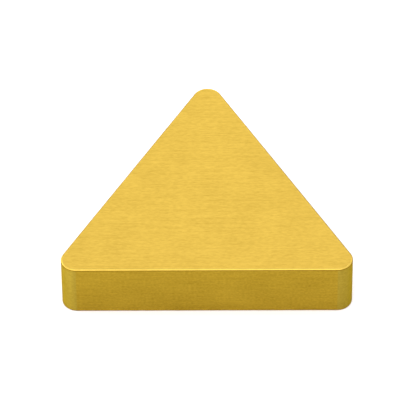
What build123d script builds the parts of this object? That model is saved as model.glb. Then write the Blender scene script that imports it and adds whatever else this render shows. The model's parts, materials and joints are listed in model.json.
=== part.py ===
"""A plain triangular turning insert: cemented carbide, flat on both faces, with upright flanks.

The insert is one solid. Its outline is an equilateral triangle about an inscribed circle,
with a round nose at each corner, and a fine hone rounds the cutting edges on both faces.
The origin is the centre of the inscribed circle on the lower face, +Z goes up through the
thickness, and one nose points along +Y. Millimetres.
"""

import os

from build123d import *

# Driving sizes
INSCRIBED_CIRCLE = 9.525  # diameter of the circle that touches all three flanks
THICKNESS = 3.18  # from the lower face to the upper face
NOSE_RADIUS = 0.8  # corner radius of each cutting nose
EDGE_HONE = 0.08  # rounding of the cutting edges where flank meets face

FLANK_COUNT = 3
NOSE_HEADING = 90  # degrees from +X, so that one nose points along +Y

os.makedirs("parts", exist_ok=True)

# The pressed and ground carbide body
with BuildPart() as carbide_insert:
    with BuildSketch(Plane.XY) as outline:
        RegularPolygon(INSCRIBED_CIRCLE / 2, FLANK_COUNT, major_radius=False, rotation=NOSE_HEADING)
        fillet(outline.vertices(), NOSE_RADIUS)
    extrude(amount=THICKNESS)
    lower_rim = carbide_insert.faces().sort_by(Axis.Z)[0].edges()
    upper_rim = carbide_insert.faces().sort_by(Axis.Z)[-1].edges()
    fillet(lower_rim + upper_rim, EDGE_HONE)

carbide_insert.part.label = "carbide_insert"
export_step(carbide_insert.part, "parts/carbide_insert.step")
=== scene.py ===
"""A plain triangular turning insert with a gold coat, on a pale floor in soft studio light.

The insert is one ground piece. Its mesh is spun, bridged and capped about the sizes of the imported
solid, so that the noses and the honed edges stay smooth close up. Everything is in metres,
in the part's own frame: the origin is the centre of the inscribed circle on the lower face, +Z goes
up through the thickness, and one nose points along +Y.
"""

import json
import logging
import math
from dataclasses import dataclass, field, replace
from enum import Enum
from typing import Callable

import bmesh
import bpy
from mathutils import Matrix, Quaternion, Vector


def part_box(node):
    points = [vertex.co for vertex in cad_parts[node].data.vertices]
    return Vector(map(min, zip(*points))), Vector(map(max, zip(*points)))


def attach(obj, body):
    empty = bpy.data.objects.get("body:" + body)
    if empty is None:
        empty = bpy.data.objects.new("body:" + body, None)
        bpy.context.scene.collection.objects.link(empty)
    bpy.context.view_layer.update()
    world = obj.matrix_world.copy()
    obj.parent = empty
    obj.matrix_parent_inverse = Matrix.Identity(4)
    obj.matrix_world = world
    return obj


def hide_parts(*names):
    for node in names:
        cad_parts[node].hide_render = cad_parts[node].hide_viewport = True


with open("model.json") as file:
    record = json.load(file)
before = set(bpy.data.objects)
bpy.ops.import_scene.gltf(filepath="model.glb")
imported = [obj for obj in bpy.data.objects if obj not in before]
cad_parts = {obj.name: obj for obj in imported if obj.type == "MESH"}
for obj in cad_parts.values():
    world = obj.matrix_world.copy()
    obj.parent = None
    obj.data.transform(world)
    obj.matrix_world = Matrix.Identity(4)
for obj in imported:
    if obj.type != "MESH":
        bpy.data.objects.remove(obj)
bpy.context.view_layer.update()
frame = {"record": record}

MM = 0.001
UP = Vector((0.0, 0.0, 1.0))
ORIGIN = Vector((0.0, 0.0, 0.0))
QUARTER_TURN = math.radians(90)
NODE = frame["record"]["subparts"][0]["node"]

log = logging.getLogger("insert_scene")

Colour = tuple[float, float, float]
Span = tuple[float, float]
Socket = bpy.types.NodeSocket


def aim(heading: float, elevation: float = 0.0) -> Vector:
    """Gives a direction.

    Args:
        heading: Its turn in degrees from +X towards +Y.
        elevation: Its rise in degrees above the level.

    Returns:
        The direction, of length one.
    """
    turn = math.radians(heading)
    rise = math.radians(elevation)
    return Vector((math.cos(turn) * math.cos(rise), math.sin(turn) * math.cos(rise), math.sin(rise)))


class NodeSheet:
    """One node tree being laid out, with short calls for adding nodes and joining them."""

    def __init__(self, tree: bpy.types.NodeTree) -> None:
        """Clears the tree.

        Args:
            tree: The node tree of a material or a world.
        """
        self.tree = tree
        self.tree.nodes.clear()

    def add(self, kind: str, **settings: object) -> bpy.types.Node:
        """Adds a node.

        Args:
            kind: The node's type, without the "ShaderNode" in front.
            settings: Properties to set on the node.

        Returns:
            The new node.
        """
        node = self.tree.nodes.new("ShaderNode" + kind)
        for name, value in settings.items():
            setattr(node, name, value)
        return node

    def join(self, source: Socket, target: Socket) -> None:
        """Links an output socket to an input socket."""
        self.tree.links.new(source, target)

    def place(self, scale: Vector) -> Socket:
        """Gives the object's own coordinates, stretched for a pattern.

        Args:
            scale: Pattern cells per metre along X, Y and Z.

        Returns:
            The vector output.
        """
        spot = self.add("TexCoord")
        mapping = self.add("Mapping")
        mapping.inputs["Scale"].default_value = scale
        self.join(spot.outputs["Object"], mapping.inputs["Vector"])
        return mapping.outputs["Vector"]

    def noise(self, vector: Socket, detail: float) -> Socket:
        """Adds a noise pattern of unit scale.

        Args:
            vector: Where the pattern is read.
            detail: How many finer octaves are laid over the first.

        Returns:
            The pattern, about 0.5.
        """
        node = self.add("TexNoise", noise_dimensions="3D")
        node.inputs["Scale"].default_value = 1.0
        node.inputs["Detail"].default_value = detail
        self.join(vector, node.inputs["Vector"])
        return node.outputs["Fac"]

    def between(self, value: Socket, start: Span, end: Span) -> Socket:
        """Maps a value from one range to another, held at the ends.

        Args:
            value: The value to map.
            start: Its lowest and highest input.
            end: What those become.

        Returns:
            The mapped value.
        """
        node = self.add("MapRange", clamp=True)
        node.inputs["From Min"].default_value = start[0]
        node.inputs["From Max"].default_value = start[1]
        node.inputs["To Min"].default_value = end[0]
        node.inputs["To Max"].default_value = end[1]
        self.join(value, node.inputs["Value"])
        return node.outputs["Result"]

    def soften(self, value: Socket, start: Span, end: Span) -> Socket:
        """Maps a value from one range to another along a soft S, held at the ends.

        Args:
            value: The value to map.
            start: Its lowest and highest input.
            end: What those become.

        Returns:
            The mapped value.
        """
        node = self.between(value, start, end).node
        node.interpolation_type = "SMOOTHSTEP"
        return node.outputs["Result"]

    def times(self, first: Socket, second: Socket) -> Socket:
        """Multiplies two values.

        Args:
            first: The one value.
            second: The other value.

        Returns:
            The product.
        """
        node = self.add("Math", operation="MULTIPLY")
        self.join(first, node.inputs[0])
        self.join(second, node.inputs[1])
        return node.outputs["Value"]

    def plus(self, first: Socket, second: Socket | float) -> Socket:
        """Adds a value, or a fixed number, to a value.

        Args:
            first: The value added to.
            second: The value or the number that is added.

        Returns:
            The sum.
        """
        node = self.add("Math", operation="ADD")
        self.join(first, node.inputs[0])
        if isinstance(second, float):
            node.inputs[1].default_value = second
        else:
            self.join(second, node.inputs[1])
        return node.outputs["Value"]

    def blend_values(self, first: Socket, second: Socket, share: float) -> Socket:
        """Mixes two values.

        Args:
            first: The one value.
            second: The other value.
            share: The second value's share of the mix.

        Returns:
            The mixed value.
        """
        node = self.add("Mix", data_type="FLOAT")
        node.inputs["Factor"].default_value = share
        self.join(first, node.inputs["A"])
        self.join(second, node.inputs["B"])
        return node.outputs["Result"]


class Lay(Enum):
    """Which way the grinding lines run: for each axis, 1 where the lines may follow it and 0 where not."""

    ALONG_X = (1.0, 0.0, 0.0)
    ROUND_THE_RIM = (1.0, 1.0, 0.0)

    @property
    def across(self) -> Vector:
        """The direction across the lines, in which they scatter the light."""
        return Vector((0.0, 1.0, 0.0)) if self is Lay.ALONG_X else UP


@dataclass(frozen=True)
class GroundCoat:
    """A ground surface under a thin gold coat: short and long lines one way, with slight cloudiness."""

    name: str
    lay: Lay
    gold: Colour
    roughness: float
    streak: float  # how strongly the lines stretch the reflections, from 0 to 1
    contrast: float = 0.18
    line_width: float = 0.075 * MM
    short_line: float = 0.24 * MM
    long_line: float = 2.4 * MM
    long_share: float = 0.35
    line_detail: float = 2.0
    cloud_size: float = 1.8 * MM
    cloud_share: float = 0.2
    cloud_detail: float = 3.0
    pattern_span: Span = (0.3, 0.7)  # the part of the noise that spans the whole range of tones
    tone_weights: Colour = (1.0, 1.1, 1.5)  # how far red, green and blue follow the tone
    unevenness: float = 0.1  # the share by which the roughness rises and falls with the lines
    relief: float = 0.3
    relief_height: float = 0.002 * MM
    grazing_tint: Colour = (0.90, 0.78, 0.45)
    # painted shade: the share by which the colour darkens towards the floor, and the height up to which it
    # reaches
    painted_floor_shade: float = 0.0
    painted_shade_reach: float = 3.0 * MM

    def lines(self, sheet: NodeSheet, length: float) -> Socket:
        """Draws grinding lines of one length.

        Args:
            sheet: The material's node tree.
            length: How long the lines are.

        Returns:
            The pattern, about 0.5.
        """
        scale = Vector([1 / length if along else 1 / self.line_width for along in self.lay.value])
        return sheet.noise(sheet.place(scale), self.line_detail)

    def painted_shade_towards_floor(self, sheet: NodeSheet) -> Socket:
        """Draws painted shade: a slight darkening of a flank towards its lower edge, where it mirrors the
        floor's shade.

        Args:
            sheet: The material's node tree.

        Returns:
            The change of tone: nothing from the painted shade's height up, and all of the painted shade
                taken off at the floor.
        """
        parts = sheet.add("SeparateXYZ")
        unstretched = Vector((1.0, 1.0, 1.0))
        sheet.join(sheet.place(unstretched), parts.inputs["Vector"])
        return sheet.between(parts.outputs["Z"], (0.0, self.painted_shade_reach), (-self.painted_floor_shade, 0.0))

    def shade(self, change: float) -> tuple[float, ...]:
        """Gives the gold, opaque, made darker and redder or lighter and paler by a share."""
        tones = (level * (1 + change * weight) for level, weight in zip(self.gold, self.tone_weights))
        return (*tones, 1.0)

    def tint(self, sheet: NodeSheet, lines: Socket) -> Socket:
        """Turns the lines, the cloudiness and the painted shade towards the floor into the coat's colour.

        Args:
            sheet: The material's node tree.
            lines: The pattern of lines.

        Returns:
            The colour.
        """
        cloud = sheet.noise(sheet.place(Vector([1 / self.cloud_size] * 3)), self.cloud_detail)
        tone = sheet.blend_values(lines, cloud, self.cloud_share)
        # painted shade, darker towards the floor
        if self.painted_floor_shade:
            tone = sheet.plus(tone, self.painted_shade_towards_floor(sheet))
        colour = sheet.add("Mix", data_type="RGBA")
        colour.inputs["A"].default_value = self.shade(-self.contrast)
        colour.inputs["B"].default_value = self.shade(self.contrast)
        sheet.join(sheet.between(tone, self.pattern_span, (0.0, 1.0)), colour.inputs["Factor"])
        return colour.outputs["Result"]

    def emboss(self, sheet: NodeSheet, lines: Socket) -> Socket:
        """Gives the lines a shallow relief.

        Args:
            sheet: The material's node tree.
            lines: The pattern of lines.

        Returns:
            The surface's normal.
        """
        bump = sheet.add("Bump")
        bump.inputs["Strength"].default_value = self.relief
        bump.inputs["Distance"].default_value = self.relief_height
        sheet.join(lines, bump.inputs["Height"])
        return bump.outputs["Normal"]

    def scatter_way(self, sheet: NodeSheet) -> Socket:
        """Gives the shader the direction across the lines.

        Args:
            sheet: The material's node tree.

        Returns:
            The direction.
        """
        across = sheet.add("CombineXYZ")
        for axis, share in zip("XYZ", self.lay.across):
            across.inputs[axis].default_value = share
        return across.outputs["Vector"]

    def make(self) -> bpy.types.Material:
        """Builds the material.

        Returns:
            The material, with its colour, roughness and relief driven by the lines.
        """
        material = bpy.data.materials.new(self.name)
        material.use_nodes = True
        sheet = NodeSheet(material.node_tree)
        lines = sheet.blend_values(
            self.lines(sheet, self.short_line), self.lines(sheet, self.long_line), self.long_share
        )
        uneven = ((1 - self.unevenness) * self.roughness, (1 + self.unevenness) * self.roughness)
        coat = sheet.add("BsdfPrincipled")
        coat.inputs["Metallic"].default_value = 1.0
        coat.inputs["Anisotropic"].default_value = self.streak
        coat.inputs["Specular Tint"].default_value = (*self.grazing_tint, 1.0)
        sheet.join(self.scatter_way(sheet), coat.inputs["Tangent"])
        sheet.join(self.tint(sheet, lines), coat.inputs["Base Color"])
        sheet.join(sheet.between(lines, self.pattern_span, uneven), coat.inputs["Roughness"])
        sheet.join(self.emboss(sheet, lines), coat.inputs["Normal"])
        out = sheet.add("OutputMaterial")
        sheet.join(coat.outputs["BSDF"], out.inputs["Surface"])
        return material


class Surface(Enum):
    """The insert's kinds of surface, each with the number that its faces carry in the mesh."""

    GROUND_FACE = 0
    FLANK = 1
    NOSE = 2
    HONED_EDGE = 3
    # the lower part of each honed edge, which carries painted shade
    RUN_OUT = 4


FACE_COAT = GroundCoat(
    "coat_on_ground_face", Lay.ALONG_X, gold=(0.468, 0.310, 0.0500), roughness=0.34, streak=0.85,
)
# The flank's gold is darker and deeper than the face's: painted shade for the dimmer, gold-tinted light
# that the flanks mirror from the floor. Its colour also darkens towards the floor as painted shade.
FLANK_COAT_WITH_PAINTED_SHADE = GroundCoat(
    "coat_on_ground_flank_with_painted_shade", Lay.ROUND_THE_RIM, gold=(0.395, 0.253, 0.0230), roughness=0.44, streak=0.9,
    contrast=0.26, line_width=0.11 * MM, short_line=0.14 * MM, grazing_tint=(0.60, 0.50, 0.18), painted_floor_shade=0.05,
)
# The noses' gold is paler and bluer than the flank's: a painted sheen for the whitish light that the noses
# catch from the left.
NOSE_COAT_WITH_PAINTED_SHEEN = replace(
    FLANK_COAT_WITH_PAINTED_SHADE, name="coat_on_ground_nose_with_painted_sheen", gold=(0.376, 0.262, 0.0325), contrast=0.2,
    grazing_tint=(0.60, 0.52, 0.20),
)
# The honed edge's gold is lighter than the face's: a painted highlight that brightens the line along the
# front edge.
HONE_COAT_WITH_PAINTED_HIGHLIGHT = GroundCoat(
    "coat_on_honed_edge_with_painted_highlight", Lay.ROUND_THE_RIM, gold=(0.630, 0.435, 0.0800), roughness=0.10, streak=0.4,
    contrast=0.1, grazing_tint=(0.50, 0.25, 0.02),
)
# A darker, redder gold on the lower part of each honed edge: painted shade for the dark line where the hone
# mirrors the dim horizon, and for the floor's shade along the lower edge.
RUN_OUT_PAINTED_SHADE_COAT = replace(
    HONE_COAT_WITH_PAINTED_HIGHLIGHT, name="painted_shade_where_the_hone_runs_out", gold=(0.240, 0.130, 0.0056), roughness=0.30,
)
COATS = {
    Surface.GROUND_FACE: FACE_COAT,
    Surface.FLANK: FLANK_COAT_WITH_PAINTED_SHADE,
    Surface.NOSE: NOSE_COAT_WITH_PAINTED_SHEEN,
    Surface.HONED_EDGE: HONE_COAT_WITH_PAINTED_HIGHLIGHT,
    Surface.RUN_OUT: RUN_OUT_PAINTED_SHADE_COAT,
}


@dataclass
class Insert:
    """The turning insert: a triangle with round noses, upright flanks and honed edges."""

    node: str
    hone: float = 0.08 * MM
    hone_steps: int = 10
    nose_steps: int = 48
    flank_headings: tuple[float, ...] = (30.0, 150.0, 270.0)
    # below this rise the honed edge carries painted shade
    run_out: float = 36.0  # degrees that the hone's normal rises where its run-out begins
    flat: float = 0.999  # a ground face's normal rises by more than this share of its length
    upright: float = 0.001  # an upright face's normal rises by no more than this share
    square_on: float = 0.99999  # a flank's normal follows its heading at least this closely
    touching: float = 1e-8  # metres within which two places are the same
    level: float = 1e-9  # metres within which two heights are the same
    flank_slack: float = 1.01  # how many hones in from a flank's plane its ends are looked for
    name: str = "gold_insert"
    thickness: float = field(init=False)
    inner_radius: float = field(init=False)
    nose_radius: float = field(init=False)
    nose_centre: Vector = field(init=False)

    def __post_init__(self) -> None:
        """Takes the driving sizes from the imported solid's box."""
        low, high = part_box(self.node)
        self.thickness = high.z - low.z
        self.inner_radius = -low.y
        self.nose_radius = 2 * self.inner_radius - high.y
        self.nose_centre = Vector((0.0, 2 * (self.inner_radius - self.nose_radius), 0.0))

    def edge_section(self, bm: bmesh.types.BMesh) -> None:
        """Draws the upright section of the rim at a nose, where the flank to the right ends.

        Args:
            bm: The mesh that it goes into.
        """
        outward = aim(self.flank_headings[0])
        across = UP.cross(outward)
        rim = self.nose_centre + outward * (self.nose_radius - self.hone)
        start = bm.verts.new(rim)
        bmesh.ops.spin(
            bm, geom=[start], cent=rim + UP * self.hone, axis=-across,
            angle=QUARTER_TURN, steps=self.hone_steps,
        )
        top = bm.verts.new(rim + UP * self.thickness)
        bmesh.ops.spin(
            bm, geom=[top], cent=rim + UP * (self.thickness - self.hone), axis=across,
            angle=QUARTER_TURN, steps=self.hone_steps,
        )
        ends = [v for v in bm.verts if abs((v.co - rim).dot(outward) - self.hone) < self.touching]
        bmesh.ops.contextual_create(bm, geom=ends)

    def build(self) -> bpy.types.Object:
        """Models the insert's mesh.

        Returns:
            The insert's object, at the origin, unturned and unscaled.
        """
        corner_turn = 360 / len(self.flank_headings)
        copies = len(self.flank_headings) - 1
        bm = bmesh.new()
        self.edge_section(bm)
        bmesh.ops.spin(
            bm, geom=bm.verts[:] + bm.edges[:], cent=self.nose_centre, axis=UP,
            angle=math.radians(corner_turn), steps=self.nose_steps,
        )
        bmesh.ops.spin(
            bm, geom=bm.verts[:] + bm.edges[:] + bm.faces[:], cent=ORIGIN, axis=UP,
            angle=math.radians(copies * corner_turn), steps=copies, use_duplicate=True,
        )
        self.bridge_flanks(bm)
        bmesh.ops.holes_fill(bm, edges=[e for e in bm.edges if e.is_boundary], sides=0)
        bmesh.ops.recalc_face_normals(bm, faces=bm.faces)
        for face in bm.faces:
            face.material_index = self.surface_of(face.normal).value
        mesh = bpy.data.meshes.new(self.name)
        bm.to_mesh(mesh)
        bm.free()
        mesh.shade_smooth()
        piece = bpy.data.objects.new(self.name, mesh)
        bpy.context.scene.collection.objects.link(piece)
        even = piece.modifiers.new("even_shading", "WEIGHTED_NORMAL")
        even.keep_sharp = True
        return piece

    def bridge_flanks(self, bm: bmesh.types.BMesh) -> None:
        """Joins each nose to the next with a flank.

        Args:
            bm: The mesh, with its three noses.
        """
        inner_limit = self.inner_radius - self.hone * self.flank_slack
        for heading in self.flank_headings:
            outward = aim(heading)
            ends = [
                e for e in bm.edges
                if e.is_boundary
                and abs(e.verts[0].co.z - e.verts[1].co.z) > self.level
                and all(v.co.dot(outward) > inner_limit for v in e.verts)
            ]
            bmesh.ops.bridge_loops(bm, edges=ends)

    def surface_of(self, normal: Vector) -> Surface:
        """Tells what kind of surface a face belongs to.

        Args:
            normal: The face's outward normal.

        Returns:
            The kind of surface.
        """
        rise = abs(normal.z)
        if rise > self.flat:
            return Surface.GROUND_FACE
        if rise > math.sin(math.radians(self.run_out)):
            return Surface.HONED_EDGE
        if rise > self.upright:
            return Surface.RUN_OUT
        if any(normal.dot(aim(heading)) > self.square_on for heading in self.flank_headings):
            return Surface.FLANK
        return Surface.NOSE

    def dress(self, piece: bpy.types.Object) -> None:
        """Puts the coat's five materials on the piece, in the order of the surfaces' numbers: the face's
        plain, the flank's with painted shade, the noses' with a painted sheen, the honed edges' with a
        painted highlight and the run-outs' with painted shade.

        Args:
            piece: The insert's object.
        """
        for surface in Surface:
            piece.data.materials.append(COATS[surface].make())


@dataclass(frozen=True)
class PaleFloor:
    """A plain pale floor, far larger than the insert, and a hair below it."""

    half_width: float = 2.0
    gap: float = 0.005 * MM
    colour: Colour = (0.94, 0.945, 0.99)

    def build(self) -> bpy.types.Object:
        """Lays the floor.

        Returns:
            The floor's object.
        """
        bm = bmesh.new()
        bmesh.ops.create_grid(bm, x_segments=1, y_segments=1, size=self.half_width)
        bmesh.ops.translate(bm, vec=-UP * self.gap, verts=bm.verts)
        mesh = bpy.data.meshes.new("pale_floor")
        bm.to_mesh(mesh)
        bm.free()
        floor = bpy.data.objects.new("pale_floor", mesh)
        bpy.context.scene.collection.objects.link(floor)
        return floor

    def dress(self, floor: bpy.types.Object) -> None:
        """Gives the floor a matt finish.

        Args:
            floor: The floor's object.
        """
        material = bpy.data.materials.new("matt_floor")
        material.use_nodes = True
        sheet = NodeSheet(material.node_tree)
        matt = sheet.add("BsdfDiffuse")
        matt.inputs["Color"].default_value = (*self.colour, 1.0)
        out = sheet.add("OutputMaterial")
        sheet.join(matt.outputs["BSDF"], out.inputs["Surface"])
        floor.data.materials.append(material)


ZENITH = 90.0
ALL_ROUND = 180.0


@dataclass(frozen=True)
class WallGlow:
    """A soft-edged patch on the room's wall: a light, or a dark card where its level is below zero.

    Its heading is in degrees from +X towards +Y, and its low and high edges in degrees from the
    horizon. It reaches half_width degrees to either side of its heading.
    """

    heading: float
    half_width: float
    low: float
    high: float
    level: float
    softness: float = 7.0

    def lay(self, sheet: NodeSheet, sight: Socket, level_sight: Socket) -> Socket:
        """Adds the patch's nodes.

        Args:
            sheet: The world's node tree.
            sight: The direction looked in.
            level_sight: The same direction laid level, of length one.

        Returns:
            What the patch adds to the wall's brightness in that direction.
        """
        parts = sheet.add("SeparateXYZ")
        sheet.join(sight, parts.inputs["Vector"])
        rise = parts.outputs["Z"]
        share = sheet.soften(rise, self.edge(math.sin, self.low), (0.0, self.level))
        if self.high < ZENITH:
            share = sheet.times(share, sheet.soften(rise, self.edge(math.sin, self.high), (1.0, 0.0)))
        if self.half_width < ALL_ROUND:
            nearness = sheet.add("VectorMath", operation="DOT_PRODUCT")
            nearness.inputs[1].default_value = aim(self.heading)
            sheet.join(level_sight, nearness.inputs[0])
            limits = self.edge(math.cos, self.half_width)[::-1]
            share = sheet.times(share, sheet.soften(nearness.outputs["Value"], limits, (0.0, 1.0)))
        return share

    def edge(self, measure: Callable[[float], float], angle: float) -> Span:
        """Gives the two limits of a soft edge at an angle in degrees, as sines or cosines."""
        before, after = math.radians(angle - self.softness), math.radians(angle + self.softness)
        return measure(before), measure(after)


@dataclass(frozen=True)
class SoftRoom:
    """The room's light: a dim even wall with broad soft patches on it."""

    dim: float
    glows: tuple[WallGlow, ...]

    def light(self) -> None:
        """Builds the world's light."""
        world = bpy.data.worlds.new("soft_room")
        bpy.context.scene.world = world
        world.use_nodes = True
        sheet = NodeSheet(world.node_tree)
        sight = sheet.add("TexCoord").outputs["Generated"]
        flat = sheet.add("VectorMath", operation="MULTIPLY")
        flat.inputs[1].default_value = (1.0, 1.0, 0.0)
        sheet.join(sight, flat.inputs[0])
        unit = sheet.add("VectorMath", operation="NORMALIZE")
        sheet.join(flat.outputs["Vector"], unit.inputs[0])
        patches = [glow.lay(sheet, sight, unit.outputs["Vector"]) for glow in self.glows]
        total = sheet.plus(patches[0], self.dim)
        for patch in patches[1:]:
            total = sheet.plus(total, patch)
        room = sheet.add("Background")
        sheet.join(total, room.inputs["Strength"])
        out = sheet.add("OutputWorld")
        sheet.join(room.outputs["Background"], out.inputs["Surface"])


STUDIO = SoftRoom(
    dim=0.615,
    glows=(
        # The ceiling
        WallGlow(heading=0, half_width=ALL_ROUND, low=50, high=ZENITH, level=1.08),
        # A narrow patch behind the insert, which the upper face mirrors to the camera
        WallGlow(heading=90, half_width=10, low=10, high=50, level=2.76, softness=8),
        # The left wall, the wall behind the camera and the right wall
        WallGlow(heading=178, half_width=62, low=10, high=50, level=2.0, softness=4),
        WallGlow(heading=-96, half_width=24, low=16, high=50, level=1.9, softness=4),
        WallGlow(heading=-4, half_width=68, low=10, high=50, level=1.2, softness=4),
        # A bright strip low on the left, for the left nose
        WallGlow(heading=183, half_width=69, low=-4, high=10, level=3.7, softness=4),
        # A patch high above the camera, for the bright line along the front honed edge
        WallGlow(heading=-100, half_width=50, low=50, high=78, level=1.4, softness=5),
        # Two dark cards behind, which the slanted honed edges mirror as a slightly darker line
        WallGlow(heading=107, half_width=9, low=-4, high=34, level=-0.5, softness=7),
        WallGlow(heading=73, half_width=9, low=-4, high=34, level=-0.5, softness=7),
        # A faint dark strip low on the right, which takes a level or so off the right nose
        WallGlow(heading=-4, half_width=66, low=-4, high=11, level=-0.5, softness=4),
    ),
)


@dataclass(frozen=True)
class LongCamera:
    """A camera with a long lens, looking down at the upper face. Its angles are in degrees."""

    face_height: float
    target_x: float = -0.371 * MM
    target_y: float = 0.306 * MM
    distance: float = 235.9 * MM
    heading: float = -89.314
    elevation: float = 46.326
    roll: float = -0.662
    lens: float = 399.9  # millimetres, as the camera's own setting has it
    near: float = 10 * MM
    far: float = 10.0

    def place(self) -> bpy.types.Object:
        """Sets the camera up.

        Returns:
            The camera, made the scene's own.
        """
        target = Vector((self.target_x, self.target_y, self.face_height))
        back = aim(self.heading, self.elevation)
        data = bpy.data.cameras.new("camera")
        data.lens = self.lens
        data.clip_start = self.near
        data.clip_end = self.far
        camera = bpy.data.objects.new("camera", data)
        camera.rotation_mode = "QUATERNION"
        camera.location = target + back * self.distance
        level = (-back).to_track_quat("-Z", "Y")
        camera.rotation_quaternion = level @ Quaternion(UP, math.radians(self.roll))
        bpy.context.scene.collection.objects.link(camera)
        bpy.context.scene.camera = camera
        return camera


def main() -> None:
    """Builds the scene: camera, light, floor and insert."""
    logging.basicConfig(level=logging.INFO, format="%(message)s")
    scene = bpy.context.scene
    scene.view_settings.view_transform = "Standard"
    camera = LongCamera(face_height=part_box(NODE)[1].z).place()
    log.info("%s: lens of %.1f mm", camera.name, camera.data.lens)
    STUDIO.light()
    log.info("%s: %d patches", scene.world.name, len(STUDIO.glows))
    pale_floor = PaleFloor()
    floor = pale_floor.build()
    pale_floor.dress(floor)
    log.info("%s: %.1f m wide", floor.name, 2 * pale_floor.half_width)
    insert = Insert(NODE)
    piece = insert.build()
    insert.dress(piece)
    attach(piece, "root")
    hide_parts(NODE)
    log.info("%s: %d faces", piece.name, len(piece.data.polygons))


if __name__ == "__main__":
    main()
